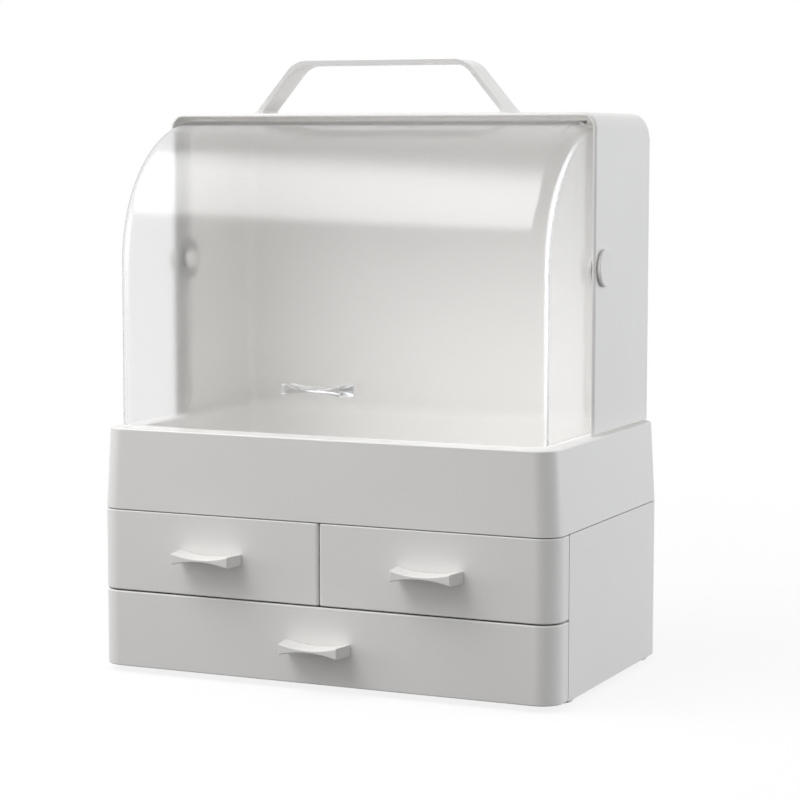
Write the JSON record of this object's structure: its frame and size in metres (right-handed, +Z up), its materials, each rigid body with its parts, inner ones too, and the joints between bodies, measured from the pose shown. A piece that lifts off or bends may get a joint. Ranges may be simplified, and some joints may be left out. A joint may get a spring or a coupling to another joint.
{
  "type": "cosmetics organizer",
  "caption": "Countertop cosmetics organizer: drawer base with a sunk tray, a rear shell with a carrying handle, and a clear lid that flips up inside the shell.",
  "frame": {"origin": "middle of the whole object's footprint, on the surface that it stands on", "axes": "+X to the right, +Y from the drawer faces to the back, +Z up"},
  "size_m": [0.28, 0.187, 0.3494],
  "materials": {
    "white_plastic": "satin white moulded plastic",
    "clear_plastic": "clear polished plastic",
    "soft_rubber": "matt soft rubber",
    "screw_steel": "plain zinc-plated steel"
  },
  "bodies": {
    "case": {"drawer_housing": "white_plastic", "foot_front_left": "soft_rubber", "foot_front_right": "soft_rubber", "foot_back_left": "soft_rubber", "foot_back_right": "soft_rubber", "tray": "white_plastic", "rear_shell": "white_plastic", "handle": "white_plastic", "hinge_pin_left": "white_plastic", "hinge_pin_right": "white_plastic", "hinge_washer_left": "soft_rubber", "hinge_washer_right": "soft_rubber", "hinge_knob_left": "white_plastic", "hinge_knob_right": "white_plastic"},
    "lid": {"lid": "clear_plastic", "lid_pull": "clear_plastic"},
    "bottom_drawer": {"bottom_drawer": "white_plastic", "bottom_pull": "white_plastic", "bottom_pull_screw_left": "screw_steel", "bottom_pull_screw_right": "screw_steel"},
    "left_drawer": {"left_drawer": "white_plastic", "left_pull": "white_plastic", "left_pull_screw_left": "screw_steel", "left_pull_screw_right": "screw_steel"},
    "right_drawer": {"right_drawer": "white_plastic", "right_pull": "white_plastic", "right_pull_screw_left": "screw_steel", "right_pull_screw_right": "screw_steel"}
  },
  "joints": [
    {"name": "lid_hinge", "type": "hinge", "parent": "case", "child": "lid", "pos_m": [0, 0.00745, 0.2336], "axis": [-1, 0, 0], "range_deg": [0, 95]},
    {"name": "bottom_drawer_slide", "type": "slide", "parent": "case", "child": "bottom_drawer", "axis": [0, -1, 0], "range_m": [0, 0.131]},
    {"name": "left_drawer_slide", "type": "slide", "parent": "case", "child": "left_drawer", "axis": [0, -1, 0], "range_m": [0, 0.131]},
    {"name": "right_drawer_slide", "type": "slide", "parent": "case", "child": "right_drawer", "axis": [0, -1, 0], "range_m": [0, 0.131]}
  ]
}
